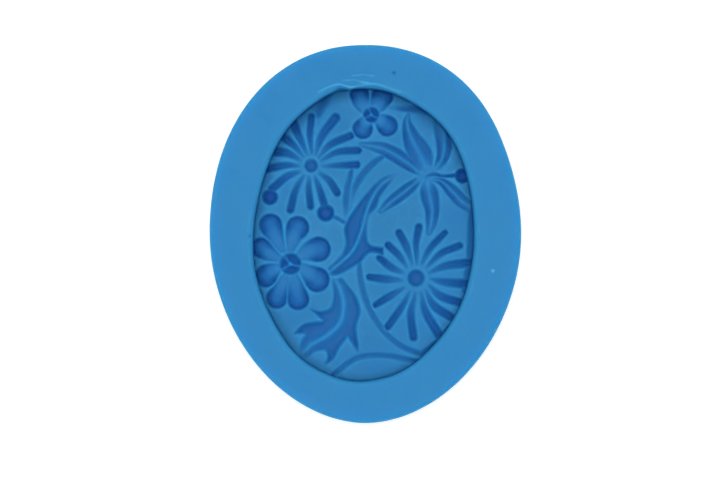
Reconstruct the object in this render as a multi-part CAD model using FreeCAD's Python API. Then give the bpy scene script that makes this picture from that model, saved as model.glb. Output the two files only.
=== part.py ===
"""Oval silicone soap mould: a thick-walled bowl whose floor carries a sunk pattern of flowers and leaves.

The real thing is one casting. It is divided here at its natural regions: the wall, the base under the
cavity, and one panel of the cavity floor for each motif. The panels meet face to face and do not overlap.

Frame: origin at the centre of the underside, +Z up, +Y towards the broad end, +X to the right.
"""
import FreeCAD, Part
import math
import os

from FreeCAD import Vector

# Driving dimensions, in millimetres.
HEIGHT = 28.0            # underside to rim
FLOOR_HEIGHT = 8.0       # underside to the plain ground of the cavity floor
BASE_THICKNESS = 4.0     # plain slab below the patterned panels
RIM_EDGE_RADIUS = 1.5    # outer edge of the rim
LIP_RADIUS = 0.8         # edge between the rim and the cavity
FOOT_RADIUS = 0.8        # outer edge of the underside
CAVITY_TAPER = 0.0018    # how much the cavity's outline shrinks for each millimetre above the floor

CUT_MARGIN = 1.0         # how far a cutting solid stands clear of what it cuts
PLAN_SPAN = 200.0        # a box this wide covers the whole plan

# Depths of the sunk pattern, below the plain ground.
RAY_DEPTH = 2.4
PETAL_DEPTH = 2.2
HEART_DEPTH = 2.0
LEAF_DEPTH = 1.8
RIB_DEPTH = 0.9          # top of a leaf's raised midrib
RIB_HALF_WIDTH = 0.4
STEM_DEPTH = 1.2

# The wall's outer outline: an oval fuller at its broad end, with one flank drawn in a little.
OUTER_HALF_WIDTH = 41.7
OUTER_HALF_LENGTH = 50.6
BROAD_FULLNESS = 2.15    # 2 gives an ellipse, and more gives squarer shoulders
NARROW_FULLNESS = 1.9
FLANK_ANGLE = 30.0       # degrees round from +X
FLANK_SPREAD = 18.0
FLANK_DEPTH = 0.6
OUTER_POINTS = 36        # points that its smooth curve runs through

# The cavity's outline: a closed smooth curve through (x, y).
CAVITY_OUTLINE = [
    (30.1, 2.0), (28.9, 13.0), (25.7, 23.2), (20.6, 30.7), (13.0, 36.4), (4.0, 40.0), (-7.0, 39.8),
    (-14.5, 35.9), (-21.2, 29.7), (-25.8, 22.0), (-29.2, 12.0), (-31.0, 1.0), (-30.5, -10.5),
    (-26.8, -21.6), (-19.8, -32.6), (-10.4, -38.9), (-0.5, -40.8), (10.6, -37.7), (20.0, -29.6),
    (26.4, -19.6), (29.5, -8.4)]

# Grooves: rows of (x, y, half width) along the middle line, root first.
LEFT_ASTER_RAYS = [
    [(-11.9, 18.9, 0.5), (-7.0, 19.1, 0.9), (-2.4, 19.3, 1.15)],
    [(-12.2, 20.5, 0.5), (-7.8, 22.8, 1.0), (-2.0, 23.3, 1.1)],
    [(-12.8, 21.5, 0.5), (-9.6, 24.9, 1.1), (-4.0, 27.4, 1.1)],
    [(-13.7, 22.2, 0.5), (-12.0, 27.3, 1.2), (-8.2, 32.4, 1.4)],
    [(-13.2, 31.6, 0.6), (-12.4, 35.0, 1.0), (-10.9, 38.6, 1.2)],
    [(-14.9, 22.5, 0.5), (-15.4, 27.5, 0.9), (-14.9, 32.6, 1.15)],
    [(-16.2, 22.2, 0.5), (-18.2, 26.6, 1.1), (-20.0, 30.8, 1.4)],
    [(-17.3, 21.6, 0.5), (-19.9, 24.7, 1.1), (-23.2, 27.3, 1.3)],
    [(-18.0, 20.6, 0.5), (-21.3, 22.4, 1.2), (-25.8, 23.2, 1.5)],
    [(-18.4, 19.0, 0.5), (-22.2, 19.1, 1.0), (-27.4, 18.2, 1.3)],
    [(-18.0, 17.4, 0.5), (-21.8, 16.0, 1.1), (-25.9, 12.6, 1.2)],
    [(-17.2, 16.3, 0.5), (-19.4, 12.2, 1.0), (-20.8, 6.8, 1.1)],
    [(-15.6, 15.8, 0.5), (-15.7, 12.2, 0.9), (-15.2, 7.7, 1.0)],
    [(-14.0, 15.9, 0.5), (-12.7, 12.5, 0.9), (-11.4, 8.2, 1.1)],
    [(-12.7, 17.0, 0.5), (-10.0, 14.9, 1.0), (-7.8, 11.5, 1.1)]]
RIGHT_ASTER_RAYS = [
    [(10.2, -12.8, 0.5), (5.5, -12.5, 1.25), (1.2, -11.9, 1.0)],
    [(10.7, -10.8, 0.5), (7.2, -9.2, 1.1), (4.0, -6.6, 1.0)],
    [(11.6, -9.2, 0.5), (9.3, -5.9, 1.0), (6.4, -3.1, 1.1)],
    [(13.1, -8.3, 0.5), (11.5, -3.6, 1.1), (9.4, 0.4, 1.1)],
    [(14.4, -8.2, 0.5), (14.1, -3.0, 0.9), (14.9, 2.0, 1.1)],
    [(15.7, -8.4, 0.5), (18.0, -4.0, 0.95), (22.1, 0.4, 0.9)],
    [(17.0, -9.2, 0.5), (21.0, -5.4, 1.0), (26.2, -3.2, 1.05)],
    [(17.9, -10.7, 0.5), (22.5, -8.8, 1.2), (29.2, -7.9, 1.35)],
    [(18.2, -12.5, 0.5), (22.6, -13.4, 1.2), (28.4, -13.8, 1.4)],
    [(17.8, -14.3, 0.5), (21.0, -17.2, 1.2), (26.2, -19.0, 1.25)],
    [(16.8, -15.7, 0.5), (19.0, -19.8, 1.2), (23.6, -22.9, 1.3)],
    [(15.6, -16.3, 0.5), (16.9, -21.8, 1.2), (20.4, -27.8, 1.35)],
    [(13.9, -16.5, 0.5), (12.7, -22.0, 1.1), (13.4, -28.6, 1.2)],
    [(12.4, -16.1, 0.5), (10.0, -20.4, 1.0), (6.3, -25.7, 1.1)],
    [(10.8, -14.9, 0.5), (7.0, -17.1, 1.15), (2.8, -19.7, 0.85)]]
EIGHT_PETALS = [
    [(-22.9, -4.3, 0.7), (-25.0, -0.6, 2.3), (-26.3, 2.5, 3.2)],
    [(-20.8, -4.2, 0.9), (-19.9, -0.6, 2.2), (-18.8, 1.8, 3.2)],
    [(-18.2, -6.1, 0.9), (-15.6, -4.8, 2.5), (-13.1, -4.2, 3.5)],
    [(-17.6, -9.2, 0.9), (-15.4, -11.0, 2.4), (-13.4, -12.6, 3.5)],
    [(-19.8, -11.4, 0.8), (-19.3, -14.5, 2.2), (-18.7, -18.0, 3.1)],
    [(-21.8, -11.4, 0.7), (-23.3, -14.5, 2.0), (-24.6, -17.7, 3.0)],
    [(-24.0, -9.2, 0.8), (-26.0, -10.3, 2.3), (-27.6, -11.6, 3.2)],
    [(-24.0, -6.8, 0.8), (-26.6, -5.4, 2.1), (-29.0, -3.8, 2.9)]]
BLOSSOM_PETALS = [
    [(0.6, 34.6, 0.8), (-0.8, 36.6, 2.0), (-1.7, 38.4, 2.7)],
    [(2.4, 34.9, 0.8), (3.4, 36.8, 2.2), (4.4, 38.2, 2.9)],
    [(3.2, 32.2, 0.8), (4.8, 31.2, 2.2), (6.1, 30.1, 2.9)],
    [(0.7, 32.0, 0.8), (-0.1, 30.6, 2.1), (-0.7, 29.3, 2.8)]]
LILY_PETALS = [
    [(16.0, 16.5, 0.5), (12.6, 19.2, 1.9), (8.4, 22.0, 2.1), (4.2, 24.0, 1.7), (-1.2, 25.0, 0.6)],
    [(17.2, 18.0, 1.3), (15.3, 22.0, 3.5), (13.0, 26.4, 2.6), (11.7, 30.6, 1.3), (12.0, 33.9, 0.3)],
    [(19.0, 17.6, 0.7), (21.3, 20.9, 1.6), (22.0, 24.4, 2.2), (21.8, 27.6, 2.6), (21.4, 31.0, 2.7)],
    [(17.4, 15.6, 0.5), (21.2, 14.6, 1.1), (24.2, 11.9, 1.8), (26.8, 9.2, 1.9), (30.2, 6.9, 1.5)],
    [(17.3, 15.0, 1.1), (17.8, 11.2, 2.6), (18.6, 7.0, 2.1), (18.4, 3.5, 1.6), (17.7, 0.4, 0.8)],
    [(15.6, 15.6, 0.5), (12.9, 13.4, 1.5), (9.6, 10.8, 1.7), (6.6, 8.5, 1.4), (4.3, 6.4, 0.7)]]
STEMS = [
    [(16.6, 15.9, 0.45), (19.0, 16.6, 0.6), (21.6, 16.1, 0.35), (25.0, 16.6, 0.5)],
    [(7.2, 35.4, 0.4), (11.0, 34.9, 0.6), (15.8, 34.8, 0.9)],
    [(-5.3, 4.6, 0.5), (-5.2, 9.5, 0.85), (-4.4, 14.5, 0.8), (-3.5, 18.4, 0.3)],
    [(-4.2, 7.6, 0.3), (-2.9, 12.6, 0.8), (-0.3, 16.6, 0.8), (2.6, 19.7, 0.75), (5.4, 22.0, 0.5)],
    [(-5.6, 3.2, 0.6), (-7.2, 4.1, 0.5), (-9.4, 5.2, 0.7)],
    [(-1.7, -8.4, 0.6), (-1.2, -13.0, 0.8), (0.6, -19.4, 0.8), (4.4, -26.0, 0.8), (9.6, -30.8, 0.8),
     (16.2, -33.6, 0.8)],
    [(-8.8, -39.0, 0.8), (-5.2, -36.1, 0.75), (-1.8, -34.2, 0.75), (2.8, -33.6, 0.75), (8.0, -34.0, 0.75),
     (15.0, -35.6, 0.75)],
    [(29.6, 6.8, 0.9), (29.2, 0.0, 1.0), (28.7, -6.0, 0.9), (28.0, -11.0, 0.8), (27.6, -15.0, 0.7)],
    [(23.4, -26.0, 0.7), (19.8, -30.0, 0.8), (15.6, -33.4, 0.8)]]

# Round dimples: (x, y, radius).
HEARTS = [(-15.0, 19.0, 1.9), (14.1, -12.2, 2.45), (-20.9, -8.1, 3.1), (1.6, 33.3, 2.1)]
BERRIES = [(-26.5, 10.3, 2.2), (-11.0, 5.9, 2.4), (27.0, 16.2, 2.1)]

# Leaf outlines: smooth runs that meet at the points and notches of the leaf.
SCROLL_LEAF_RUNS = [
    [(9.6, 17.2), (4.6, 15.7), (0.2, 11.5), (-2.9, 7.4), (-5.2, 3.9), (-6.0, 1.0), (-5.6, -2.4), (-6.9, -5.8),
     (-10.4, -9.2)],
    [(-10.4, -9.2), (-10.6, -11.6)],
    [(-10.6, -11.6), (-7.4, -11.4), (-3.4, -9.3), (-1.2, -8.0), (0.2, -6.2), (2.0, -5.3), (5.2, -6.3)],
    [(5.2, -6.3), (5.3, -3.5)],
    [(5.3, -3.5), (1.7, -2.9), (0.6, -0.6), (1.0, 4.6), (3.1, 7.2), (4.4, 10.4), (6.9, 13.8), (9.6, 17.2)]]
SCROLL_LEAF_RIB = [
    (7.6, 16.0), (4.6, 13.6), (1.3, 9.0), (-0.7, 4.4), (-1.6, -0.4), (-3.6, -5.2), (-8.6, -9.6)]
ACANTHUS_RUNS = [
    [(-9.8, -12.0), (-9.0, -16.6), (-9.9, -20.2), (-12.5, -21.2), (-14.5, -20.7), (-16.2, -20.0)],
    [(-16.2, -20.0), (-14.3, -22.0), (-12.2, -23.9)],
    [(-12.2, -23.9), (-17.2, -24.8), (-20.4, -27.9)],
    [(-20.4, -27.9), (-18.7, -27.8), (-17.0, -28.0)],
    [(-17.0, -28.0), (-18.2, -30.6), (-18.7, -34.8)],
    [(-18.7, -34.8), (-16.6, -34.7), (-13.8, -32.8), (-11.2, -32.6), (-10.8, -34.6), (-12.3, -36.7)],
    [(-12.3, -36.7), (-9.0, -35.2), (-7.0, -31.6), (-4.9, -28.9)],
    [(-4.9, -28.9), (-3.6, -30.8), (-2.0, -33.2)],
    [(-2.0, -33.2), (-1.7, -30.6), (-2.3, -26.0), (-1.2, -21.4), (-2.6, -16.8), (-6.4, -12.0)],
    [(-6.4, -12.0), (-9.8, -12.0)]]
ACANTHUS_RIB = [
    (-8.2, -13.0), (-6.8, -15.8), (-6.0, -20.0), (-7.0, -24.6), (-10.6, -28.2), (-15.4, -31.0),
    (-17.4, -33.0)]

# Panels of the floor, drawn along the plain ground between motifs. Each takes what earlier ones leave.
BLOSSOM_PANEL_CENTRE = (1.7, 33.6)
BLOSSOM_PANEL_RADIUS = 8.6
PANELS = {
    "eight_petal_flower_panel": [
        (-26.8, 6.7), (-18.8, 5.8), (-12.4, 1.4), (-8.8, -3.4), (-9.8, -8.6), (-9.8, -13.4), (-13.0, -18.2),
        (-18.2, -22.0), (-25.6, -21.4), (-34.0, -14.0), (-35.0, -3.0)],
    "left_aster_panel": [
        (-2.0, 43.0), (0.0, 34.0), (-1.9, 26.0), (-0.6, 21.4), (-3.6, 16.8), (-6.2, 10.8), (-8.0, 4.8),
        (-12.6, 2.6), (-19.2, 2.0), (-26.6, 4.0), (-34.0, 6.0), (-33.0, 26.0), (-21.0, 39.0)],
    "scroll_leaf_panel": [
        (10.2, 18.0), (4.0, 16.8), (-1.0, 12.4), (-5.2, 6.4), (-7.2, 0.8), (-7.6, -5.0), (-13.0, -9.4),
        (-10.6, -12.0), (-4.2, -10.6), (0.6, -7.2), (5.4, -5.4), (2.2, -1.6), (2.4, 4.4), (4.4, 9.4)],
    "acanthus_leaf_panel": [
        (-9.8, -9.4), (-14.6, -15.0), (-24.0, -16.0), (-34.0, -22.0), (-30.0, -34.0), (-16.0, -44.0),
        (-9.4, -37.4), (-6.0, -35.2), (-1.2, -33.8), (-0.6, -27.0), (-0.2, -20.4), (-2.2, -14.6),
        (-5.0, -10.0)],
    "right_aster_panel": [
        (-0.4, -12.4), (1.6, -20.4), (5.4, -26.6), (12.4, -30.2), (20.4, -29.8), (30.0, -24.0), (35.0, -10.0),
        (32.0, -1.4), (22.0, 2.2), (14.0, 4.0), (7.6, 2.0), (2.6, -4.8)],
    "lily_panel": [
        (-4.6, 26.0), (4.0, 21.4), (9.4, 17.4), (4.0, 12.0), (0.0, 4.0), (3.4, -4.0), (14.0, -4.0),
        (26.0, -4.0), (36.0, -2.0), (37.0, 16.0), (28.0, 34.0), (12.0, 44.0), (2.0, 38.0), (-1.0, 30.0)]}
# Of the ground left over, the grass panel is above this line and the sprig panel is below it.
GRASS_SPRIG_LINE = -6.7


def outline_curve(points):
    """Closed smooth curve through (x, y) points."""
    curve = Part.BSplineCurve()
    curve.interpolate([Vector(x, y, 0) for x, y in points], PeriodicFlag=True)
    return curve.toShape()


def outer_outline():
    """Points round the wall's outer outline."""
    points = []
    for step in range(OUTER_POINTS):
        angle = 360.0 / OUTER_POINTS * step
        across = math.cos(math.radians(angle))
        along = math.sin(math.radians(angle))
        fullness = BROAD_FULLNESS if along > 0 else NARROW_FULLNESS
        reach = abs(across / OUTER_HALF_WIDTH) ** fullness + abs(along / OUTER_HALF_LENGTH) ** fullness
        drawn_in = FLANK_DEPTH * math.exp(-((angle - FLANK_ANGLE) / FLANK_SPREAD) ** 2)
        radius = reach ** (-1 / fullness) - drawn_in
        points.append((radius * across, radius * along))
    return points


def open_curve(points):
    """Open smooth curve through points, or the straight line between two."""
    if len(points) == 2:
        return Part.LineSegment(points[0], points[1]).toShape()
    curve = Part.BSplineCurve()
    curve.interpolate(points)
    return curve.toShape()


def prism(edges, bottom, top):
    """Upright solid between two heights over a closed plan outline."""
    face = Part.Face(Part.Wire(edges))
    face.translate(Vector(0, 0, bottom))
    return face.extrude(Vector(0, 0, top - bottom))


def pocket(edges, depth):
    """Solid that cuts a recess of this depth into the floor, open above it."""
    return prism(edges, FLOOR_HEIGHT - depth, FLOOR_HEIGHT + CUT_MARGIN)


def groove(rows, depth):
    """Recess with round ends that follows rows of (x, y, half width)."""
    left = []
    right = []
    ends = []
    for index, (x, y, half_width) in enumerate(rows):
        before = rows[max(index - 1, 0)]
        after = rows[min(index + 1, len(rows) - 1)]
        along = Vector(after[0] - before[0], after[1] - before[1], 0).normalize()
        across = Vector(-along.y, along.x, 0)
        left.append(Vector(x, y, 0) + across * half_width)
        right.append(Vector(x, y, 0) - across * half_width)
        ends.append(along * half_width)
    root = Vector(rows[0][0], rows[0][1], 0) - ends[0]
    tip = Vector(rows[-1][0], rows[-1][1], 0) + ends[-1]
    edges = [
        open_curve(left),
        Part.Arc(left[-1], tip, right[-1]).toShape(),
        open_curve(right[::-1]),
        Part.Arc(right[0], root, left[0]).toShape()]
    return pocket(edges, depth)


def dimple(x, y, radius, depth):
    """Round flat-bottomed recess."""
    return pocket([Part.makeCircle(radius, Vector(x, y, 0))], depth)


def leaf(runs, rib):
    """Recess in the outline of a leaf, with its midrib left standing in the bottom."""
    recess = pocket([open_curve([Vector(x, y, 0) for x, y in run]) for run in runs], LEAF_DEPTH)
    ridge = groove([(x, y, RIB_HALF_WIDTH) for x, y in rib], LEAF_DEPTH)
    corner = Vector(-PLAN_SPAN / 2, -PLAN_SPAN / 2, 0)
    below_rib_top = Part.makeBox(PLAN_SPAN, PLAN_SPAN, FLOOR_HEIGHT - RIB_DEPTH, corner)
    return recess.cut(ridge.common(below_rib_top))


def pattern_recesses():
    """Every recess of the pattern."""
    recesses = [groove(rows, RAY_DEPTH) for rows in LEFT_ASTER_RAYS + RIGHT_ASTER_RAYS]
    recesses += [groove(rows, PETAL_DEPTH) for rows in EIGHT_PETALS + BLOSSOM_PETALS + LILY_PETALS]
    recesses += [groove(rows, STEM_DEPTH) for rows in STEMS]
    recesses += [dimple(x, y, radius, HEART_DEPTH) for x, y, radius in HEARTS + BERRIES]
    recesses.append(leaf(SCROLL_LEAF_RUNS, SCROLL_LEAF_RIB))
    recesses.append(leaf(ACANTHUS_RUNS, ACANTHUS_RIB))
    return recesses


def ring_edges(ring, height, outer):
    """The ring's outer or inner edges at a height, told apart by their width."""
    mid_wall_width = OUTER_HALF_WIDTH + max(x for x, _ in CAVITY_OUTLINE)
    tolerance = 0.01
    found = []
    for edge in ring.Edges:
        box = edge.BoundBox
        level = abs(box.ZMin - height) < tolerance and abs(box.ZMax - height) < tolerance
        if level and (box.XLength > mid_wall_width) == outer:
            found.append(edge)
    return found


def cavity_loop(height):
    """The cavity's outline at a height. The mouth is a little narrower than the floor."""
    share = 1 - CAVITY_TAPER * (height - FLOOR_HEIGHT)
    loop = Part.Wire([outline_curve([(x * share, y * share) for x, y in CAVITY_OUTLINE])])
    loop.translate(Vector(0, 0, height))
    return loop


def outer_wall():
    """Full-height oval ring: its inner face is the cavity's side and its top is the rim."""
    ring = prism([outline_curve(outer_outline())], 0, HEIGHT)
    ring = ring.cut(prism([outline_curve(CAVITY_OUTLINE)], -CUT_MARGIN, FLOOR_HEIGHT))
    loops = [cavity_loop(FLOOR_HEIGHT), cavity_loop(HEIGHT + CUT_MARGIN)]
    ring = ring.cut(Part.makeLoft(loops, True, True))
    ring = ring.makeFillet(RIM_EDGE_RADIUS, ring_edges(ring, HEIGHT, outer=True))
    ring = ring.makeFillet(LIP_RADIUS, ring_edges(ring, HEIGHT, outer=False))
    return ring.makeFillet(FOOT_RADIUS, ring_edges(ring, 0, outer=True))


def base_slab():
    """Plain slab under the patterned floor."""
    return prism([outline_curve(CAVITY_OUTLINE)], 0, BASE_THICKNESS)


def floor_panels():
    """The patterned floor, divided into its panels: a dictionary of name to solid."""
    ground = prism([outline_curve(CAVITY_OUTLINE)], BASE_THICKNESS, FLOOR_HEIGHT)
    centre = Vector(*BLOSSOM_PANEL_CENTRE, 0)
    outlines = {"small_blossom_panel": Part.makeCircle(BLOSSOM_PANEL_RADIUS, centre)}
    outlines.update({name: outline_curve(points) for name, points in PANELS.items()})
    blanks = {}
    for name, outline in outlines.items():
        region = prism([outline], 0, HEIGHT)
        blanks[name] = ground.common(region)
        ground = ground.cut(region)
    above_line = Vector(-PLAN_SPAN / 2, GRASS_SPRIG_LINE, 0)
    below_line = Vector(-PLAN_SPAN / 2, GRASS_SPRIG_LINE - PLAN_SPAN, 0)
    upper_half = Part.makeBox(PLAN_SPAN, PLAN_SPAN, HEIGHT, above_line)
    lower_half = Part.makeBox(PLAN_SPAN, PLAN_SPAN, HEIGHT, below_line)
    blanks["grass_blade_panel"] = ground.common(upper_half)
    blanks["sprig_stem_panel"] = ground.common(lower_half)
    recesses = pattern_recesses()
    panels = {}
    for name, blank in blanks.items():
        for recess in recesses:
            if recess.BoundBox.intersect(blank.BoundBox):
                blank = blank.cut(recess)
        panels[name] = blank
    return panels


def write_node(name, shape):
    shape = shape.removeSplitter()
    solids = shape.Solids
    print(f"{name}: {len(solids)} solid(s), {shape.Volume / 1000:.2f} cm3, valid {shape.isValid()}")
    Part.makeCompound(solids).exportStep(f"parts/{name}.step")


os.makedirs("parts", exist_ok=True)
write_node("outer_wall", outer_wall())
write_node("base_slab", base_slab())
for panel_name, panel in floor_panels().items():
    write_node(panel_name, panel)
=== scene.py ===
"""Oval silicone soap mould, cast in one piece, with flowers and leaves sunk into the floor of its cavity.

The pattern is sculpted as one field of depths over the whole floor. The floor's mesh, its shading normals and
its depth of blue are read from that field; that blue is painted shade, deeper in the hollows, with painted
highlights paler at their edges. The wall is a ring that runs round its section, from the cavity's outline to
the outer one and back.
"""
import math

import bpy
import numpy as np
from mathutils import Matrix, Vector
from mathutils import noise
from mathutils.geometry import delaunay_2d_cdt


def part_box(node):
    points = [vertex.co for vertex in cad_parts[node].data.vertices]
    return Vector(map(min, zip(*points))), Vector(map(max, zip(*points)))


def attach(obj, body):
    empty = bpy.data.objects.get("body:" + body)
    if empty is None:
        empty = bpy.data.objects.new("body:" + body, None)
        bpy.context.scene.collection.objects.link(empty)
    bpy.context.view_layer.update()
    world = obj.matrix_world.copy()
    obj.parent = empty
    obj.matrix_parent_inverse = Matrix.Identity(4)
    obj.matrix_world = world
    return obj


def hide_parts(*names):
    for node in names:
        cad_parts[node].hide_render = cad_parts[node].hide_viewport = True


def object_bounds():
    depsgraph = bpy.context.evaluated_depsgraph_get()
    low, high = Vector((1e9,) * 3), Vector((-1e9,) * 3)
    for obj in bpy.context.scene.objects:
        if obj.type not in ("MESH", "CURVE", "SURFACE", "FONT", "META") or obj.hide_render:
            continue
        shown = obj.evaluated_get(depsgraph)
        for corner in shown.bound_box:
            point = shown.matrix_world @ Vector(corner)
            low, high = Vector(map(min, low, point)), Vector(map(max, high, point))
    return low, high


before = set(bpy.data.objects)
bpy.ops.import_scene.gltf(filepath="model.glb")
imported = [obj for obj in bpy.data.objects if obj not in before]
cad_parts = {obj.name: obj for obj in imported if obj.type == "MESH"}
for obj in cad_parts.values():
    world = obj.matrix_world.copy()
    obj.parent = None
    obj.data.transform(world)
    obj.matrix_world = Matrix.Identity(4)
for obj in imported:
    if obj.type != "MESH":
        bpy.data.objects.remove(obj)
cad_low, cad_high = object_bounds()

# Everything is laid out in millimetres, and meshes are scaled to metres as they are made.
MM = 0.001
RIM_HEIGHT = cad_high.z / MM
FLOOR_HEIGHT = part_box("lily_panel")[1].z / MM
PANEL_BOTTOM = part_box("lily_panel")[0].z / MM

GRID = 0.25             # spacing of the floor mesh's points
FIELD_STEP = 0.15       # spacing of the field of depths
FIELD_MARGIN = 1.5      # how far the field reaches past the cavity
EDGE_CLEARANCE = 0.4    # grid points nearer the floor's outline than this share of GRID are left out
SOFT_EDGE = 0.18        # how far cast rubber softens an edge
ROUND = 720             # points round the ovals
CURVE_STEPS = 10        # straight steps drawn between two points of a curve

# The wall's outer outline: an oval fuller at its broad end, with one flank drawn in a little.
OUTER_HALF_WIDTH = 41.7
OUTER_HALF_LENGTH = 50.6
BROAD_FULLNESS = 2.15   # 2 gives an ellipse, and more gives squarer shoulders
NARROW_FULLNESS = 1.9
FLANK_ANGLE = 30.0      # degrees round from +X
FLANK_SPREAD = 18.0
FLANK_DEPTH = 0.6
OUTER_POINTS = 36       # points that its smooth curve runs through

# The cavity's outline: a closed smooth curve through (x, y).
CAVITY_OUTLINE = [
    (30.1, 2.0), (28.9, 13.0), (25.7, 23.2), (20.6, 30.7), (13.0, 36.4), (4.0, 40.0), (-7.0, 39.8),
    (-14.5, 35.9), (-21.2, 29.7), (-25.8, 22.0), (-29.2, 12.0), (-31.0, 1.0), (-30.5, -10.5),
    (-26.8, -21.6), (-19.8, -32.6), (-10.4, -38.9), (-0.5, -40.8), (10.6, -37.7), (20.0, -29.6),
    (26.4, -19.6), (29.5, -8.4)]

# The wall's section.
CAVITY_TAPER = 0.0018   # how much the cavity's outline shrinks for each millimetre above the floor
LIP_RADIUS = 1.3
RIM_EDGE_RADIUS = 1.6
FOOT_RADIUS = 0.8
CORNER_RINGS = 9        # rings of points round each rounded edge
SIDE_RINGS = 10         # up the cavity's side
RIM_RINGS = 40          # across the rim
OUTER_RINGS = 14        # down the outer side
FOOT_RINGS = 8          # across the underside

# Marks of casting by hand. At the broad end the crest of the lip wanders inward at one place, low folds run
# along it, and the edge of the mouth is nicked: (x, width, change outward). Elsewhere on the rim are a few
# pits and specks: (x, y, radius, depth, change of tone).
CREST_DIP = 0.8
CREST_DIP_X = -3.6
CREST_DIP_WIDTH = 2.2
FOLD_WIDTH = 0.35
FOLD_HEIGHT = 0.2
RIM_FOLDS = [
    [(-12.6, 38.0), (-9.5, 39.4), (-7.1, 39.9), (-4.9, 39.4), (-2.3, 39.2), (0.6, 39.9), (3.0, 39.9),
     (6.1, 38.8), (9.2, 37.7)],
    [(-6.2, 40.9), (-3.0, 41.1), (-1.6, 40.7), (0.6, 40.4)],
    [(-3.4, 42.2), (-0.6, 42.5), (2.2, 42.1)]]
MOUTH_NICKS = [(-6.9, 1.3, 0.4), (-4.1, 1.1, -0.35)]
RIM_SAG = 0.14          # how far the rim lies below its nominal height, on average
RIM_SAG_CHANGE = 0.16   # and how much that varies
RIM_SAG_SIZE = 14.0     # width of the rises and dips
RIM_SAG_SLICE = 3.0     # which slice of the noise gives them
RIM_MARKS = [(7.6, 43.0, 0.4, 0.15, 0.5), (-30.9, -0.6, 0.4, 0.3, 0.4), (34.0, -9.8, 0.5, -0.12, -0.3)]

# How deep the blue looks, kept on the meshes as an attribute: 0 palest, 1 deepest. Beyond the rubber's own
# blue it holds painted shade in the hollows, the crease and the lip's rounding, and painted highlights on the
# crest, folds and edges beside the hollows.
# Painted shade on the lip's rounding, a painted highlight along its crest, and painted highlights on the
# rim's folds.
LIP_PAINTED_SHADE = 0.34
CREST_PAINTED_HIGHLIGHT = 0.24
FOLD_PAINTED_HIGHLIGHT = 0.17
PAINTED_EDGE_HIGHLIGHT = 0.35    # painted highlight: how much paler the blue is painted on the edges beside the hollows
PAINTED_EDGE_HIGHLIGHT_WIDTH = 0.7
FLOOR_TONE = 0.25
RIM_TONE = 0.3
CREST_HIGHLIGHT_WIDTH = 0.6

# Depths of the sunk pattern, below the plain ground.
RAY_DEPTH = 1.65
PETAL_DEPTH = 2.8
LILY_DEPTH = 2.0
SCROLL_LEAF_DEPTH = 1.85
ACANTHUS_DEPTH = 1.45
HEART_DEPTH = 2.0
STEM_DEPTH = 0.75
BLADE_DEPTH = 0.9
JOIN_DEPTH = 0.5        # a fine crease where the floor meets the cavity's side, which the depth of blue also darkens as painted shade
JOIN_WIDTH = 0.25
DEEPEST_PAINTED_SHADE = 2.4           # sunk this far, the painted shade is at its deepest

# Sections of the grooves. Squareness is how flat a hollow's bottom is: 2 is round, and more is flatter with
# steeper sides. A root is the share of its full depth that a groove has where it starts.
RAY_SQUARENESS = 2.6
RAY_ROOT = 0.15
RAY_OPENING = 1.2       # how fast a ray gets deeper along its length
RAY_EASE = 0.8
PETAL_SQUARENESS = 8.0
PETAL_ROOT = 0.16
PETAL_OPENING = 2.0     # how late a petal gets deeper along its length
PETAL_CROWN = 0.28      # depth of the middle as a share of the depth at the sides
PETAL_CROWN_FALL = 2.5
LILY_SQUARENESS = 3.0
LILY_ROOT = 0.2
LILY_ROOT_LENGTH = 0.25
LILY_KEEL = 0.3         # depth over the keel as a share of the depth at the sides
LILY_KEEL_OPENING = 1.25
LILY_KEEL_FALL = 1.3
LILY_TIP_START = 0.6    # how far along the tip starts to rise
LILY_TIP_RISE = 0.6     # and the share of its depth that it loses
STEM_SQUARENESS = 2.2
BLADE_SQUARENESS = 1.6
BLADE_ROOT = 0.3
BLADE_ROOT_LENGTH = 0.3
DIMPLE_SQUARENESS = 5.0
HEART_RIDGE = 0.45      # height of a heart's ridges as a share of its depth
HEART_RIDGE_WIDTH = 0.17    # and their width as a share of its radius

# Sections of the leaves: the side falls steeply, and the bottom rises towards the midrib.
LEAF_SIDE_WIDTH = 0.6
LEAF_SIDE_FALL = 1.5
LEAF_SWELL = 0.3        # share of the depth that the broad rise takes up
LEAF_SWELL_WIDTH = 2.8
LEAF_RIB = 0.5          # share that the narrow midrib on top of it takes up
SCROLL_LEAF_RIB_WIDTH = 0.6
ACANTHUS_RIB_WIDTH = 1.0

# The plain ground of the floor is slightly uneven.
GROUND_SWELL = 0.06
GROUND_WAVE_X = 9.0
GROUND_WAVE_Y = 11.0
GROUND_SHIFT = 1.0

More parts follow.
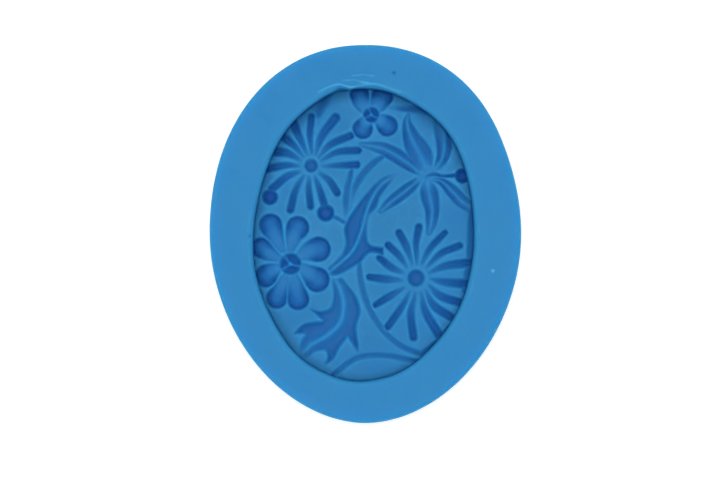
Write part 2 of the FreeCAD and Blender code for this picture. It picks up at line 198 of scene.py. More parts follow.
# Grooves: rows of (x, y, half width) along the middle line, root first.
ASTER_RAYS = [
    [(-11.9, 18.9, 0.5), (-7.0, 19.1, 0.9), (-2.4, 19.3, 1.15)],
    [(-12.2, 20.5, 0.5), (-7.8, 22.8, 1.0), (-2.0, 23.3, 1.1)],
    [(-12.8, 21.5, 0.5), (-9.6, 24.9, 1.1), (-4.0, 27.4, 1.1)],
    [(-13.7, 22.2, 0.5), (-12.0, 27.3, 1.2), (-8.2, 32.4, 1.4)],
    [(-14.9, 22.5, 0.5), (-15.4, 27.5, 0.9), (-14.9, 32.6, 1.15)],
    [(-16.2, 22.2, 0.5), (-18.2, 26.6, 1.1), (-20.0, 30.8, 1.4)],
    [(-17.3, 21.6, 0.5), (-19.9, 24.7, 1.1), (-23.2, 27.3, 1.3)],
    [(-18.0, 20.6, 0.5), (-21.3, 22.4, 1.2), (-25.8, 23.2, 1.5)],
    [(-18.4, 19.0, 0.5), (-22.2, 19.1, 1.0), (-27.4, 18.2, 1.3)],
    [(-18.0, 17.4, 0.5), (-21.8, 16.0, 1.1), (-25.9, 12.6, 1.2)],
    [(-17.2, 16.3, 0.5), (-19.4, 12.2, 1.0), (-20.8, 6.8, 1.1)],
    [(-15.6, 15.8, 0.5), (-15.7, 12.2, 0.9), (-15.2, 7.7, 1.0)],
    [(-14.0, 15.9, 0.5), (-12.7, 12.5, 0.9), (-11.4, 8.2, 1.1)],
    [(-12.7, 17.0, 0.5), (-10.0, 14.9, 1.0), (-7.8, 11.5, 1.1)],
    [(10.2, -12.8, 0.5), (5.5, -12.5, 1.25), (1.2, -11.9, 1.0)],
    [(10.7, -10.8, 0.5), (7.2, -9.2, 1.1), (4.0, -6.6, 1.0)],
    [(11.6, -9.2, 0.5), (9.3, -5.9, 1.0), (6.4, -3.1, 1.1)],
    [(13.1, -8.3, 0.5), (11.5, -3.6, 1.1), (9.4, 0.4, 1.1)],
    [(14.4, -8.2, 0.5), (14.1, -3.0, 0.9), (14.9, 2.0, 1.1)],
    [(15.7, -8.4, 0.5), (18.0, -4.0, 0.95), (22.1, 0.4, 0.9)],
    [(17.0, -9.2, 0.5), (21.0, -5.4, 1.0), (26.2, -3.2, 1.05)],
    [(17.9, -10.7, 0.5), (22.5, -8.8, 1.2), (29.2, -7.9, 1.35)],
    [(18.2, -12.5, 0.5), (22.6, -13.4, 1.2), (28.4, -13.8, 1.4)],
    [(17.8, -14.3, 0.5), (21.0, -17.2, 1.2), (26.2, -19.0, 1.25)],
    [(16.8, -15.7, 0.5), (19.0, -19.8, 1.2), (23.6, -22.9, 1.3)],
    [(15.6, -16.3, 0.5), (16.9, -21.8, 1.2), (20.4, -27.8, 1.35)],
    [(13.9, -16.5, 0.5), (12.7, -22.0, 1.1), (13.4, -28.6, 1.2)],
    [(12.4, -16.1, 0.5), (10.0, -20.4, 1.0), (6.3, -25.7, 1.1)],
    [(10.8, -14.9, 0.5), (7.0, -17.1, 1.15), (2.8, -19.7, 0.85)]]
SPOON_PETALS = [
    [(-22.9, -4.3, 1.0), (-25.0, -0.6, 2.3), (-26.3, 2.5, 3.2)],
    [(-20.8, -4.2, 1.2), (-19.9, -0.6, 2.2), (-18.8, 1.8, 3.2)],
    [(-18.2, -6.1, 1.2), (-15.6, -4.8, 2.5), (-13.1, -4.2, 3.5)],
    [(-17.6, -9.2, 1.2), (-15.4, -11.0, 2.4), (-13.4, -12.6, 3.5)],
    [(-19.8, -11.4, 1.1), (-19.3, -14.5, 2.2), (-18.7, -18.0, 3.1)],
    [(-21.8, -11.4, 1.0), (-23.3, -14.5, 2.0), (-24.6, -17.7, 3.0)],
    [(-24.0, -9.2, 1.1), (-26.0, -10.3, 2.3), (-27.6, -11.6, 3.2)],
    [(-24.0, -6.8, 1.1), (-26.6, -5.4, 2.1), (-29.0, -3.8, 2.9)],
    [(0.2, 34.2, 1.1), (-0.9, 36.6, 2.4), (-1.6, 38.8, 2.7)],
    [(2.9, 34.2, 1.1), (3.7, 36.4, 2.5), (4.7, 38.4, 3.1)],
    [(3.2, 32.2, 1.1), (4.8, 31.2, 2.2), (6.1, 30.1, 2.9)],
    [(0.7, 32.0, 1.1), (-0.1, 30.6, 2.1), (-0.7, 29.3, 2.8)]]
LILY_PETALS = [
    [(16.0, 16.5, 0.5), (12.6, 19.2, 1.9), (8.4, 22.0, 2.1), (4.2, 24.0, 1.7), (-1.2, 25.0, 0.6)],
    [(17.2, 18.0, 1.3), (15.3, 22.0, 3.5), (13.0, 26.4, 2.6), (11.7, 30.6, 1.3), (12.0, 33.9, 0.3)],
    [(19.0, 17.6, 0.7), (21.3, 20.9, 1.6), (22.0, 24.4, 2.2), (21.8, 27.6, 2.6), (21.4, 31.0, 2.7)],
    [(17.4, 15.6, 0.5), (21.2, 14.6, 1.1), (24.2, 11.9, 1.8), (26.8, 9.2, 1.9), (30.2, 6.9, 1.5)],
    [(17.3, 15.0, 1.1), (17.8, 11.2, 2.6), (18.6, 7.0, 2.1), (18.4, 3.5, 1.6), (17.7, 0.4, 0.8)],
    [(15.6, 15.6, 0.5), (12.9, 13.4, 1.5), (9.6, 10.8, 1.7), (6.6, 8.5, 1.4), (4.3, 6.4, 0.7)]]
LILY_FILAMENTS = [[(16.4, 15.8, 0.5), (19.0, 16.6, 0.6), (21.6, 16.1, 0.4), (25.4, 16.4, 0.5)]]
STEMS = [
    [(-5.6, 3.2, 0.6), (-7.2, 4.1, 0.5), (-9.4, 5.2, 0.7)],
    [(-1.7, -8.4, 0.7), (-1.2, -13.0, 0.9), (0.6, -19.4, 0.9), (4.4, -26.0, 0.9), (9.6, -30.8, 0.9),
     (16.2, -33.6, 0.9)],
    [(-8.8, -39.0, 0.9), (-5.2, -36.1, 0.9), (-1.8, -34.2, 0.9), (2.8, -33.6, 0.9), (8.0, -34.0, 0.9),
     (15.0, -35.6, 0.9)],
    [(29.9, 7.2, 1.2), (29.6, 0.0, 1.4), (29.4, -6.0, 1.3), (28.6, -11.0, 1.2), (27.9, -15.5, 1.1)],
    [(23.4, -26.0, 0.8), (19.8, -30.0, 0.9), (15.6, -33.4, 0.9)]]
BLADES = [
    [(-13.4, 31.0, 0.6), (-12.6, 35.0, 1.7), (-10.9, 39.2, 2.4)],
    [(7.0, 35.2, 0.6), (11.0, 34.8, 1.0), (15.8, 35.0, 1.7), (19.5, 34.4, 2.0)],
    [(-5.4, 3.6, 0.7), (-5.3, 9.5, 1.2), (-4.5, 14.5, 1.1), (-3.6, 18.8, 0.5)],
    [(-4.4, 6.6, 0.4), (-3.3, 12.2, 1.1), (-0.9, 16.4, 1.2), (2.2, 19.7, 1.1), (5.4, 22.0, 0.6)]]

# Round dimples: (x, y, radius, depth). A divided heart, (x, y, radius, angles), has low ridges at its angles.
DIMPLES = [
    (-15.0, 19.0, 1.9, 1.3), (14.1, -12.2, 2.45, 1.4), (-26.5, 10.3, 2.2, 2.2), (-11.0, 5.9, 2.4, 2.2),
    (27.0, 16.2, 2.1, 2.3)]
DIVIDED_HEARTS = [(-20.8, -8.3, 3.15, (128, 215, 345)), (1.7, 33.2, 2.3, (110, 207, 332))]

# Leaf outlines: smooth runs that meet at the points and notches of the leaf.
SCROLL_LEAF_RUNS = [
    [(9.6, 17.2), (4.6, 15.7), (0.2, 11.5), (-2.9, 7.4), (-5.2, 3.9), (-6.0, 1.0), (-5.6, -2.4), (-6.9, -5.8),
     (-10.4, -9.2)],
    [(-10.4, -9.2), (-10.6, -11.6)],
    [(-10.6, -11.6), (-7.4, -11.4), (-3.4, -9.3), (-1.2, -8.0), (0.2, -6.2), (2.0, -5.3), (5.2, -6.3)],
    [(5.2, -6.3), (5.3, -3.5)],
    [(5.3, -3.5), (1.7, -2.9), (0.6, -0.6), (1.0, 4.6), (3.1, 7.2), (4.4, 10.4), (6.9, 13.8), (9.6, 17.2)]]
SCROLL_LEAF_RIB = [(8.4, 16.5), (4.2, 13.5), (1.6, 9.4), (0.0, 5.2), (-1.4, 0.0), (-4.0, -5.2), (-9.9, -10.5)]
ACANTHUS_RUNS = [
    [(-9.8, -12.0), (-9.0, -16.6), (-9.9, -20.2), (-12.5, -21.2), (-14.5, -20.7), (-16.2, -20.0)],
    [(-16.2, -20.0), (-14.3, -22.0), (-12.2, -23.9)],
    [(-12.2, -23.9), (-17.2, -24.8), (-20.4, -27.9)],
    [(-20.4, -27.9), (-18.7, -27.8), (-17.0, -28.0)],
    [(-17.0, -28.0), (-18.2, -30.6), (-18.7, -34.8)],
    [(-18.7, -34.8), (-16.6, -34.7), (-13.8, -32.8), (-11.2, -32.6), (-10.8, -34.6), (-12.3, -36.7)],
    [(-12.3, -36.7), (-9.0, -35.2), (-7.0, -31.6), (-4.9, -28.9)],
    [(-4.9, -28.9), (-3.6, -30.8), (-2.0, -33.2)],
    [(-2.0, -33.2), (-1.7, -30.6), (-2.3, -26.0), (-1.2, -21.4), (-2.6, -16.8), (-6.4, -12.0)],
    [(-6.4, -12.0), (-9.8, -12.0)]]
ACANTHUS_RIB = [(-8.4, -12.2), (-6.8, -15.8), (-6.0, -20.0), (-7.0, -24.6), (-10.6, -28.2), (-15.4, -31.0),
                (-18.2, -34.2)]


# Curves ---------------------------------------------------------------------------------------------------

def smooth_curve(points, closed=False):
    """Smooth curve through points of any number of values, as an array of close samples."""
    points = np.array(points, float)
    if closed:
        points = np.vstack([points[-1], points, points[0], points[1]])
    else:
        points = np.vstack([2 * points[0] - points[1], points, 2 * points[-1] - points[-2]])
    steps = np.arange(CURVE_STEPS)[:, None] / CURVE_STEPS
    spans = []
    for before, start, end, after in zip(points, points[1:], points[2:], points[3:]):
        bend = 2 * before - 5 * start + 4 * end - after
        twist = -before + 3 * start - 3 * end + after
        spans.append(start + 0.5 * ((end - before) * steps + bend * steps ** 2 + twist * steps ** 3))
    if not closed:
        spans.append(points[-2][None, :])
    return np.vstack(spans)


def oval(points):
    """A closed curve sampled at even angles round the origin."""
    curve = smooth_curve(points, closed=True)
    angles = np.arctan2(curve[:, 1], curve[:, 0])
    even = np.arange(ROUND) * 2 * math.pi / ROUND
    radii = np.interp(even, angles, np.hypot(curve[:, 0], curve[:, 1]), period=2 * math.pi)
    return np.stack([radii * np.cos(even), radii * np.sin(even)], axis=1)


def outer_outline():
    """Points round the wall's outer outline."""
    points = []
    for step in range(OUTER_POINTS):
        angle = 360.0 / OUTER_POINTS * step
        across = math.cos(math.radians(angle))
        along = math.sin(math.radians(angle))
        fullness = BROAD_FULLNESS if along > 0 else NARROW_FULLNESS
        reach = abs(across / OUTER_HALF_WIDTH) ** fullness + abs(along / OUTER_HALF_LENGTH) ** fullness
        drawn_in = FLANK_DEPTH * math.exp(-((angle - FLANK_ANGLE) / FLANK_SPREAD) ** 2)
        radius = reach ** (-1 / fullness) - drawn_in
        points.append((radius * across, radius * along))
    return points


def outward(loop):
    """Unit vectors that point out of a closed loop, one for each of its points."""
    along = np.roll(loop, -1, axis=0) - np.roll(loop, 1, axis=0)
    normal = np.stack([along[:, 1], -along[:, 0]], axis=1)
    return normal / np.linalg.norm(normal, axis=1)[:, None]


def inside(x, y, loop):
    """Which points lie inside a closed loop."""
    within = np.zeros(x.shape, bool)
    for (ax, ay), (bx, by) in zip(loop, np.roll(loop, -1, axis=0)):
        if ay != by:
            crosses = (y < ay) != (y < by)
            within ^= crosses & (x < ax + (y - ay) * (bx - ax) / (by - ay))
    return within


def distance_to(x, y, line):
    """Distance from each point to the nearest part of a line of samples."""
    nearest = np.full(x.shape, np.inf)
    for (ax, ay), (bx, by) in zip(line, line[1:]):
        dx, dy = bx - ax, by - ay
        share = np.clip(((x - ax) * dx + (y - ay) * dy) / max(dx * dx + dy * dy, 1e-9), 0, 1)
        nearest = np.minimum(nearest, np.hypot(x - ax - share * dx, y - ay - share * dy))
    return nearest


# The sculpted floor ---------------------------------------------------------------------------------------

def groove_place(x, y, line):
    """How far across a groove each point is, 0 at its middle and 1 at its edge, and how far along, 0 to 1."""
    across = np.full(x.shape, np.inf)
    along = np.zeros(x.shape)
    for index, ((ax, ay, aw), (bx, by, bw)) in enumerate(zip(line, line[1:])):
        dx, dy = bx - ax, by - ay
        share = np.clip(((x - ax) * dx + (y - ay) * dy) / (dx * dx + dy * dy), 0, 1)
        ratio = np.hypot(x - ax - share * dx, y - ay - share * dy) / (aw + share * (bw - aw))
        closer = ratio < across
        across[closer] = ratio[closer]
        along[closer] = (index + share[closer]) / (len(line) - 1)
    return across, along


def hollow(across, squareness):
    """Cross section of a hollow: 1 in the middle, 0 at its edge, and a flatter bottom the squarer it is."""
    return np.clip(1 - across ** squareness, 0, 1)


def ray_section(across, along):
    """A club-shaped slot, shallow beside the heart and deep at its rounded end."""
    opening = np.clip(RAY_OPENING * along, 0, 1) ** RAY_EASE
    return RAY_DEPTH * (RAY_ROOT + (1 - RAY_ROOT) * opening) * hollow(across, RAY_SQUARENESS)


def spoon_section(across, along):
    """A petal that is raised along its middle, with a deep crescent inside its end."""
    crown = PETAL_CROWN + (1 - PETAL_CROWN) * np.clip(across, 0, 1) ** PETAL_CROWN_FALL
    crescent = along ** PETAL_OPENING * crown
    return PETAL_DEPTH * (PETAL_ROOT + (1 - PETAL_ROOT) * crescent) * hollow(across, PETAL_SQUARENESS)


def lily_section(across, along):
    """A long petal, deepest beside both edges, with a raised keel down the middle and a shallower tip."""
    keel = LILY_KEEL + (1 - LILY_KEEL) * np.clip(LILY_KEEL_OPENING * across, 0, 1) ** LILY_KEEL_FALL
    root = np.clip(along / LILY_ROOT_LENGTH, LILY_ROOT, 1)
    tip = 1 - LILY_TIP_RISE * np.clip((along - LILY_TIP_START) / (1 - LILY_TIP_START), 0, 1)
    return LILY_DEPTH * keel * root * tip * hollow(across, LILY_SQUARENESS)


def stem_section(across, _along):
    """A plain round-bottomed stem, as deep all along its length."""
    return STEM_DEPTH * hollow(across, STEM_SQUARENESS)


def blade_section(across, along):
    """A soft shallow blade of grass that fades at its root."""
    return BLADE_DEPTH * hollow(across, BLADE_SQUARENESS) * np.clip(along / BLADE_ROOT_LENGTH, BLADE_ROOT, 1)


def press_groove(depth, x, y, rows, section):
    """Sinks one groove into the depths."""
    line = smooth_curve(rows)
    reach = line[:, 2].max() + GRID
    low = line[:, :2].min(axis=0) - reach
    high = line[:, :2].max(axis=0) + reach
    near = (x > low[0]) & (x < high[0]) & (y > low[1]) & (y < high[1])
    if near.any():
        depth[near] = np.maximum(depth[near], section(*groove_place(x[near], y[near], line)))


def press_dimple(depth, x, y, centre_x, centre_y, radius, deep, ridges=()):
    """Sinks one round dimple into the depths, divided by low ridges that run out from its middle."""
    dx, dy = x - centre_x, y - centre_y
    sunk = deep * hollow(np.hypot(dx, dy) / radius, DIMPLE_SQUARENESS)
    for angle in ridges:
        turn = math.radians(angle)
        out = dx * math.cos(turn) + dy * math.sin(turn)
        aside = np.hypot(dy * math.cos(turn) - dx * math.sin(turn), np.clip(-out, 0, None))
        sunk *= 1 - HEART_RIDGE * np.exp(-(aside / (HEART_RIDGE_WIDTH * radius)) ** 2)
    np.maximum(depth, sunk, out=depth)


def press_leaf(depth, x, y, runs, rib, deep, rib_width):
    """Sinks a leaf into the depths, deeper near its edge than over its raised midrib."""
    outline = np.vstack([smooth_curve(run)[:-1] for run in runs])
    low, high = outline.min(axis=0), outline.max(axis=0)
    near = (x > low[0]) & (x < high[0]) & (y > low[1]) & (y < high[1])
    px, py = x[near], y[near]
    edge = distance_to(px, py, np.vstack([outline, outline[:1]]))
    rib_distance = distance_to(px, py, smooth_curve(rib))
    side = 1 - np.exp(-(edge / LEAF_SIDE_WIDTH) ** LEAF_SIDE_FALL)
    swell = LEAF_SWELL * np.exp(-(rib_distance / LEAF_SWELL_WIDTH) ** 2)
    ridge = LEAF_RIB * np.exp(-(rib_distance / rib_width) ** 2)
    sunk = deep * side * (1 - swell - ridge)
    sunk[~inside(px, py, outline)] = 0
    depth[near] = np.maximum(depth[near], sunk)


def pattern_depth(x, y):
    """How far the pattern is sunk below the plain ground at each point."""
    depth = np.zeros(x.shape)
    press_leaf(depth, x, y, SCROLL_LEAF_RUNS, SCROLL_LEAF_RIB, SCROLL_LEAF_DEPTH, SCROLL_LEAF_RIB_WIDTH)
    press_leaf(depth, x, y, ACANTHUS_RUNS, ACANTHUS_RIB, ACANTHUS_DEPTH, ACANTHUS_RIB_WIDTH)
    grooves = [(ASTER_RAYS, ray_section), (LILY_FILAMENTS, ray_section), (SPOON_PETALS, spoon_section),
               (LILY_PETALS, lily_section), (STEMS, stem_section), (BLADES, blade_section)]
    for rows_list, section in grooves:
        for rows in rows_list:
            press_groove(depth, x, y, rows, section)
    for dimple in DIMPLES:
        press_dimple(depth, x, y, *dimple)
    for centre_x, centre_y, radius, ridges in DIVIDED_HEARTS:
        press_dimple(depth, x, y, centre_x, centre_y, radius, HEART_DEPTH, ridges)
    return depth


def softened(values, spread):
    """Values on a grid, blurred by a bell curve whose spread is in grid steps."""
    reach = math.ceil(3 * spread)
    shifts = np.arange(-reach, reach + 1)
    weights = np.exp(-0.5 * (shifts / spread) ** 2)
    for axis in (0, 1):
        rolled = [weight * np.roll(values, shift, axis) for weight, shift in zip(weights, shifts)]
        values = sum(rolled) / weights.sum()
    return values


def sculpted_field(cavity):
    """The floor's height, slopes and painted shade (its depth of blue) on a fine grid, and that grid's
    corner.
    """
    corner = cavity.min(axis=0) - FIELD_MARGIN
    far = cavity.max(axis=0) + FIELD_MARGIN
    x, y = np.meshgrid(np.arange(corner[0], far[0], FIELD_STEP), np.arange(corner[1], far[1], FIELD_STEP))
    depth = pattern_depth(x.ravel(), y.ravel()).reshape(x.shape)
    from_side = distance_to(x.ravel(), y.ravel(), np.vstack([cavity, cavity[:1]])).reshape(x.shape)
    depth += JOIN_DEPTH * np.exp(-(from_side / JOIN_WIDTH) ** 2)
    depth = softened(depth, SOFT_EDGE / FIELD_STEP)
    swell = GROUND_SWELL * np.sin(x / GROUND_WAVE_X + GROUND_SHIFT) * np.sin(y / GROUND_WAVE_Y)
    height = FLOOR_HEIGHT - swell - depth
    slope_y, slope_x = np.gradient(height, FIELD_STEP)
    # Painted shade follows the depth, and a painted highlight pales the edges beside the hollows.
    blue = depth + PAINTED_EDGE_HIGHLIGHT * (depth - softened(depth, PAINTED_EDGE_HIGHLIGHT_WIDTH / FIELD_STEP))
    return np.stack([height, slope_x, slope_y, blue], axis=2), corner


def read_field(field, corner, points):
    """The field's values at plan points, read between its own points."""
    place = (points - corner) / FIELD_STEP
    whole = np.floor(place).astype(int)
    column, row = whole.T
    share_x, share_y = (place - whole).T[:, :, None]
    low = field[row, column] * (1 - share_x) + field[row, column + 1] * share_x
    high = field[row + 1, column] * (1 - share_x) + field[row + 1, column + 1] * share_x
    return low * (1 - share_y) + high * share_y


def floor_triangles(cavity):
    """The floor in plan: points on a grid, joined into triangles that end at the cavity's outline."""
    low, high = cavity.min(axis=0), cavity.max(axis=0)
    grid_x, grid_y = np.meshgrid(np.arange(low[0], high[0], GRID), np.arange(low[1], high[1], GRID))
    x, y = grid_x.ravel(), grid_y.ravel()
    keep = inside(x, y, cavity)
    from_outline = distance_to(x[keep], y[keep], np.vstack([cavity, cavity[:1]]))
    keep[keep] = from_outline > EDGE_CLEARANCE * GRID
    points = [Vector(point) for point in np.vstack([cavity, np.column_stack([x[keep], y[keep]])])]
    edges = [(i, (i + 1) % len(cavity)) for i in range(len(cavity))]
    # Output type 1 keeps the triangles inside the outline, and points closer than 1e-5 mm are merged.
    made = delaunay_2d_cdt(points, edges, [], 1, 1e-5, False)
    return np.array([tuple(point) for point in made[0]]), np.array(made[2])


def rim_edges(triangles):
    """The edges round a set of triangles that no second triangle shares, each in its triangle's direction."""
    directed = np.vstack([triangles[:, [0, 1]], triangles[:, [1, 2]], triangles[:, [2, 0]]])
    known = set(map(tuple, directed))
    return [edge for edge in known if edge[::-1] not in known]


def chained(edges):
    """Closed loops of point numbers, from edges in any order."""
    following = dict(edges)
    loops = []
    while following:
        start, point = following.popitem()
        loop = [start]
        while point != start:
            loop.append(point)
            point = following.pop(point)
        loops.append(loop)
    return loops


def mesh_piece(name, points, faces, material, tones_with_painted_shading=None):
    """A smooth mesh object from points in millimetres, with how deep the blue and painted shade look at each
    point.
    """
    mesh = bpy.data.meshes.new(name)
    mesh.from_pydata([tuple(point) for point in np.asarray(points) * MM], [], faces)
    mesh.validate()
    if tones_with_painted_shading is not None:
        mesh.attributes.new("tone", "FLOAT", "POINT").data.foreach_set("value", tones_with_painted_shading)
    mesh.polygons.foreach_set("use_smooth", [True] * len(mesh.polygons))
    mesh.materials.append(material)
    piece = bpy.data.objects.new(name, mesh)
    bpy.context.scene.collection.objects.link(piece)
    return piece


def cavity_floor(cavity, material):
    """The sculpted floor as one closed solid down to the underside, so that the pattern runs on unbroken."""
    corners, triangles = floor_triangles(cavity)
    field, corner = sculpted_field(cavity)
    height, slope_x, slope_y, blue = read_field(field, corner, corners).T
    points = [*np.column_stack([corners, height])]
    # Painted shade: the blue is drawn deeper the deeper the floor is sunk.
    tones_with_painted_shading = [*np.clip(FLOOR_TONE + (1 - FLOOR_TONE) * blue / DEEPEST_PAINTED_SHADE, 0, 1)]
    faces = triangles.tolist()
    for loop in chained(rim_edges(triangles)):
        first, count = len(points), len(loop)
        points += [(*corners[point], 0.0) for point in loop]
        tones_with_painted_shading += [RIM_TONE] * count
        for i in range(count):
            j = (i + 1) % count
            faces.append([loop[j], loop[i], first + i, first + j])
        faces.append([first + i for i in reversed(range(count))])
    floor = mesh_piece("cavity_floor_casting", points, faces, material, tones_with_painted_shading)
    mesh = floor.data
    mesh.polygons.foreach_set("use_smooth", [i < len(triangles) for i in range(len(mesh.polygons))])
    normals = np.column_stack([-slope_x, -slope_y, np.ones(len(height))])
    normals /= np.linalg.norm(normals, axis=1)[:, None]
    shading = np.zeros((len(mesh.loops), 3))
    shading[:3 * len(triangles)] = normals[triangles.ravel()]
    mesh.normals_split_custom_set([tuple(normal) for normal in shading])
    return floor


# The wall -------------------------------------------------------------------------------------------------

def level(loop, height):
    """A loop of plan points set at a height, or at a height for each point."""
    return np.column_stack([loop, np.broadcast_to(height, len(loop))])


def rim_sag(loop):
    """How far the hand-poured rim lies below its nominal height at each point."""
    places = [Vector((x / RIM_SAG_SIZE, y / RIM_SAG_SIZE, RIM_SAG_SLICE)) for x, y in loop]
    sag = RIM_SAG + RIM_SAG_CHANGE * np.array([noise.noise(place) for place in places])
    for fold in RIM_FOLDS:
        away = distance_to(loop[:, 0], loop[:, 1], smooth_curve(fold))
        sag -= FOLD_HEIGHT * np.exp(-(away / FOLD_WIDTH) ** 2)
    for x, y, radius, depth, _ in RIM_MARKS:
        sag += depth * np.exp(-(np.hypot(loop[:, 0] - x, loop[:, 1] - y) / radius) ** 2)
    return np.clip(sag, 0, None)


def rim_tone_with_painted_light(loop, from_crest):
    """Blue of the lip and rim with painted shade and highlights, at a distance outward from the crest between
    them.
    """
    beyond = LIP_PAINTED_SHADE if from_crest < 0 else RIM_TONE
    tone = np.full(len(loop), beyond + (CREST_PAINTED_HIGHLIGHT - beyond) * math.exp(-(from_crest / CREST_HIGHLIGHT_WIDTH) ** 2))
    for fold in RIM_FOLDS:
        away = distance_to(loop[:, 0], loop[:, 1], smooth_curve(fold))
        tone += (FOLD_PAINTED_HIGHLIGHT - RIM_TONE) * np.exp(-(away / FOLD_WIDTH) ** 2)
    for x, y, radius, _, change in RIM_MARKS:
        tone += change * np.exp(-(np.hypot(loop[:, 0] - x, loop[:, 1] - y) / radius) ** 2)
    return tone


def outer_wall(cavity, outer, material):
    """The oval ring: up the cavity's side, over the lip and rim, and down the outer side to the underside."""
    mouth = cavity * (1 - CAVITY_TAPER * (RIM_HEIGHT - LIP_RADIUS - FLOOR_HEIGHT))
    mouth_out, outer_out = outward(mouth), outward(outer)
    for at, width, change in MOUTH_NICKS:
        nick = change * np.exp(-((mouth[:, 0] - at) / width) ** 2) * (mouth[:, 1] > 0)
        mouth = mouth + mouth_out * nick[:, None]
    along = (mouth[:, 0] - CREST_DIP_X) / CREST_DIP_WIDTH
    lip_width = (LIP_RADIUS - CREST_DIP * np.exp(-along ** 2) * (mouth[:, 1] > 0))[:, None]
    crest = mouth + mouth_out * lip_width
    edge = outer - outer_out * RIM_EDGE_RADIUS
    corner_turns = np.radians(np.linspace(0, 90, CORNER_RINGS))
    rings = [(level(cavity, PANEL_BOTTOM), RIM_TONE)]
    for share in np.linspace(0, 1, SIDE_RINGS):
        height = FLOOR_HEIGHT + share * (RIM_HEIGHT - LIP_RADIUS - FLOOR_HEIGHT)
        rings.append((level(cavity + (mouth - cavity) * share, height), RIM_TONE))
    for turn in corner_turns[1:]:
        loop = mouth + mouth_out * lip_width * (1 - math.cos(turn))
        height = RIM_HEIGHT - LIP_RADIUS + (LIP_RADIUS - rim_sag(loop)) * math.sin(turn)
        rings.append((level(loop, height), rim_tone_with_painted_light(loop, -LIP_RADIUS * math.cos(turn))))
    rim_width = np.linalg.norm(edge - crest, axis=1).mean()
    for share in np.linspace(0, 1, RIM_RINGS)[1:]:
        loop = crest + (edge - crest) * share
        rings.append((level(loop, RIM_HEIGHT - rim_sag(loop)), rim_tone_with_painted_light(loop, share * rim_width)))
    for turn in corner_turns[1:]:
        loop = edge + outer_out * RIM_EDGE_RADIUS * math.sin(turn)
        drop = RIM_EDGE_RADIUS * (1 - math.cos(turn))
        rings.append((level(loop, RIM_HEIGHT - drop - rim_sag(loop) * math.cos(turn)), RIM_TONE))
    for height in np.linspace(RIM_HEIGHT - RIM_EDGE_RADIUS, FOOT_RADIUS, OUTER_RINGS)[1:]:
        rings.append((level(outer, height), RIM_TONE))
    foot = outer - outer_out * FOOT_RADIUS
    for turn in corner_turns[1:]:
        loop = foot + outer_out * FOOT_RADIUS * math.cos(turn)
        rings.append((level(loop, FOOT_RADIUS * (1 - math.sin(turn))), RIM_TONE))
    for share in np.linspace(0, 1, FOOT_RINGS)[1:]:
        rings.append((level(foot + (cavity - foot) * share, 0.0), RIM_TONE))
    points = np.vstack([loop for loop, _ in rings])
    tones_with_painted_shading = np.concatenate([np.broadcast_to(tone, ROUND) for _, tone in rings])
    faces = []
    for ring in range(len(rings)):
        here, there = ring * ROUND, (ring + 1) % len(rings) * ROUND
        for i in range(ROUND):
            j = (i + 1) % ROUND
            faces.append((here + i, here + j, there + j, there + i))
    return mesh_piece("outer_wall_casting", points, faces, material, tones_with_painted_shading)


# Materials ------------------------------------------------------------------------------------------------

def linear(hex_colour):
    """An sRGB hex colour as linear RGBA."""
    channels = [int(hex_colour[i:i + 2], 16) / 255 for i in (1, 3, 5)]
    return [c / 12.92 if c <= 0.04045 else ((c + 0.055) / 1.055) ** 2.4 for c in channels] + [1.0]


def add_node(tree, kind, settings=None, links=None):
    """Adds a node, sets its properties and sockets, and links its inputs from other nodes' outputs."""
    node = tree.nodes.new(kind)
    for name, value in (settings or {}).items():
        if isinstance(name, int) or name in node.inputs:
            node.inputs[name].default_value = value
        else:
            setattr(node, name, value)
    for name, source in (links or {}).items():
        tree.links.new(source, node.inputs[name])
    return node


# Silicone rubber. Blues from the palest to the deepest tone, as (tone, colour). The pale stops paint
# highlights and the deep stops paint shade in the hollows.
SILICONE_BLUES_AND_PAINTED_SHADE = [(0.0, "#55B2EA"), (0.25, "#318CC0"), (0.3, "#318DC5"), (0.65, "#1D73B7"), (1.0, "#105FB2")]
CLOUD_SIZE = 13.0       # mm, soft clouds of pigment
MOTTLE_SIZE = 1.6       # mm, drawn coarser than the real 0.3 mm so that it shows
SKIN_SIZE = 0.5         # mm, the satin skin, drawn coarser than the real 0.05 mm
CLOUD_SHARE = 0.10      # how much the clouds change the tone, from least to most
MOTTLE_SHARE = 0.08
SKIN_RELIEF = 0.02      # mm
SKIN_STRENGTH = 0.25
SATIN = (0.58, 0.72)    # roughness, from the clouds' thinnest parts to their thickest
SHINE = 0.2             # 0.5 would be the full reflection for this index
SILICONE_IOR = 1.41
SILICONE_GLOW = (0.4, 0.8, 1.0)     # how far red, green and blue light soaks in, against GLOW_DEPTH
GLOW_DEPTH = 6.0        # mm


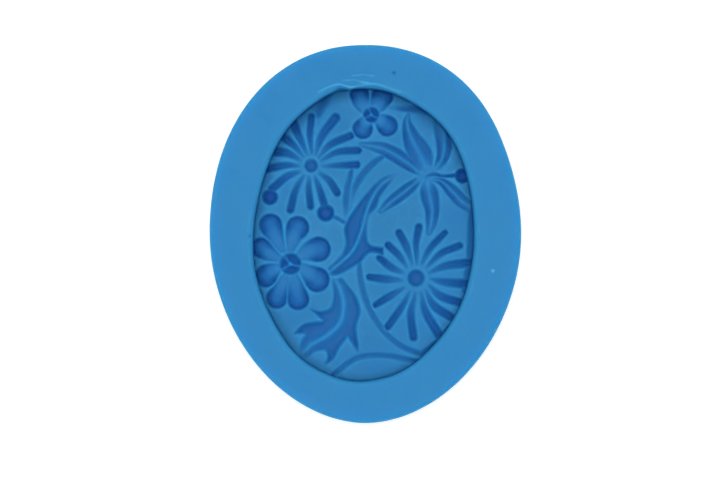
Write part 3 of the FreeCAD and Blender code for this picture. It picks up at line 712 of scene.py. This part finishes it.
def cast_silicone(name):
    """Tin-cure silicone rubber, pigmented blue and cast against a smooth master.

    To the eye: matt to satin and faintly cloudy. Its tone paints shade deeper blue in the hollows and on the
    lip's rounding, and paints highlights paler on the crest, folds and the edges of hollows.
    """
    material = bpy.data.materials.new(name)
    material.use_nodes = True
    tree = material.node_tree
    shader = tree.nodes["Principled BSDF"]
    place = add_node(tree, "ShaderNodeTexCoord").outputs["Object"]
    # The tone attribute carries painted light and shade as well as the rubber's blue.
    tone = add_node(tree, "ShaderNodeAttribute", {"attribute_name": "tone"}).outputs["Fac"]
    clouds = add_node(tree, "ShaderNodeTexNoise", {"Scale": 1 / (CLOUD_SIZE * MM), "Detail": 2.0},
                      {"Vector": place})
    mottle = add_node(tree, "ShaderNodeTexNoise", {"Scale": 1 / (MOTTLE_SIZE * MM), "Detail": 3.0},
                      {"Vector": place})
    clouded = add_node(tree, "ShaderNodeMath", {"operation": "MULTIPLY_ADD", 1: CLOUD_SHARE},
                       {0: clouds.outputs["Fac"], 2: tone})
    mottled = add_node(tree, "ShaderNodeMath", {"operation": "MULTIPLY_ADD", 1: MOTTLE_SHARE},
                       {0: mottle.outputs["Fac"], 2: clouded.outputs[0]})
    centred = add_node(tree, "ShaderNodeMath", {"operation": "SUBTRACT", 1: (CLOUD_SHARE + MOTTLE_SHARE) / 2},
                       {0: mottled.outputs[0]})
    blues = add_node(tree, "ShaderNodeValToRGB", {}, {"Fac": centred.outputs[0]})
    stops = blues.color_ramp.elements
    while len(stops) < len(SILICONE_BLUES_AND_PAINTED_SHADE):
        stops.new(0.5)
    for stop, (position, colour) in zip(stops, SILICONE_BLUES_AND_PAINTED_SHADE):
        stop.position = position
        stop.color = linear(colour)
    tree.links.new(blues.outputs["Color"], shader.inputs["Base Color"])
    sheen = add_node(tree, "ShaderNodeMapRange", {"To Min": SATIN[0], "To Max": SATIN[1]},
                     {"Value": clouds.outputs["Fac"]})
    tree.links.new(sheen.outputs["Result"], shader.inputs["Roughness"])
    skin = add_node(tree, "ShaderNodeTexNoise", {"Scale": 1 / (SKIN_SIZE * MM), "Detail": 2.0},
                    {"Vector": place})
    bump = add_node(tree, "ShaderNodeBump", {"Strength": SKIN_STRENGTH, "Distance": SKIN_RELIEF * MM},
                    {"Height": skin.outputs["Fac"]})
    tree.links.new(bump.outputs["Normal"], shader.inputs["Normal"])
    shader.inputs["IOR"].default_value = SILICONE_IOR
    shader.inputs["Specular IOR Level"].default_value = SHINE
    shader.inputs["Subsurface Weight"].default_value = 1.0
    shader.inputs["Subsurface Radius"].default_value = SILICONE_GLOW
    shader.inputs["Subsurface Scale"].default_value = GLOW_DEPTH * MM
    return material


# Stage ----------------------------------------------------------------------------------------------------

TABLE_HALF_WIDTH = 1500.0
TABLE_GLOW = 0.3
ROOM_GLOW = 0.22
# Softboxes: (name, tilt from straight above, turn, distance in metres, size in metres, watts).
SOFTBOXES = [("overhead_softbox", 2, 110, 1.1, 0.32, 8.8)]
SOFTBOXES += [(f"side_softbox_{turn}", 68, turn, 0.9, 0.5, 0.25) for turn in range(0, 360, 45)]
CAMERA_LENS = 93.75
CAMERA_HEIGHT = 500.0   # above the rim
CAMERA_SHIFT = (-1.4667, -1.6)


def light_table():
    """Opal acrylic sheet of a light table: matt white, and lit softly from inside."""
    material = bpy.data.materials.new("opal_acrylic_light_table")
    material.use_nodes = True
    shader = material.node_tree.nodes["Principled BSDF"]
    shader.inputs["Base Color"].default_value = linear("#F6F6F6")
    shader.inputs["Roughness"].default_value = 0.8
    shader.inputs["Emission Color"].default_value = linear("#FFFFFF")
    shader.inputs["Emission Strength"].default_value = TABLE_GLOW
    return material


def studio():
    """A pale light table in an even white room, with a softbox overhead and a ring of faint ones low down."""
    half = TABLE_HALF_WIDTH
    corners = [(-half, -half, 0), (half, -half, 0), (half, half, 0), (-half, half, 0)]
    mesh_piece("studio_table", corners, [(0, 1, 2, 3)], light_table())
    world = bpy.data.worlds.new("studio")
    world.use_nodes = True
    world.node_tree.nodes["Background"].inputs["Color"].default_value = linear("#FFFFFF")
    world.node_tree.nodes["Background"].inputs["Strength"].default_value = ROOM_GLOW
    bpy.context.scene.world = world
    for name, tilt, turn, distance, size, watts in SOFTBOXES:
        light = bpy.data.lights.new(name, "AREA")
        light.shape = "DISK"
        light.size = size
        light.energy = watts
        lamp = bpy.data.objects.new(name, light)
        lean, turn = math.radians(tilt), math.radians(turn)
        away = Vector((math.sin(lean) * math.cos(turn), math.sin(lean) * math.sin(turn), math.cos(lean)))
        lamp.location = away * distance
        lamp.rotation_euler = away.to_track_quat("Z", "Y").to_euler()
        bpy.context.scene.collection.objects.link(lamp)


def camera():
    """A camera that looks straight down, with the broad end of the mould at the top of its view."""
    lens = bpy.data.cameras.new("camera")
    lens.lens = CAMERA_LENS
    eye = bpy.data.objects.new("camera", lens)
    eye.location = (CAMERA_SHIFT[0] * MM, CAMERA_SHIFT[1] * MM, cad_high.z + CAMERA_HEIGHT * MM)
    bpy.context.scene.collection.objects.link(eye)
    bpy.context.scene.camera = eye


# Making ---------------------------------------------------------------------------------------------------

def build():
    """Makes the camera, the studio and both pieces, and ties the pieces to the CAD."""
    camera()
    studio()
    bpy.context.scene.view_settings.view_transform = "Standard"
    cavity, outer = oval(CAVITY_OUTLINE), oval(outer_outline())
    silicone = cast_silicone("blue_cast_silicone")
    wall = outer_wall(cavity, outer, silicone)
    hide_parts("outer_wall")
    floor = cavity_floor(cavity, silicone)
    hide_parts("base_slab", *[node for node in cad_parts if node.endswith("_panel")])
    for piece in (wall, floor):
        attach(piece, "root")


build()
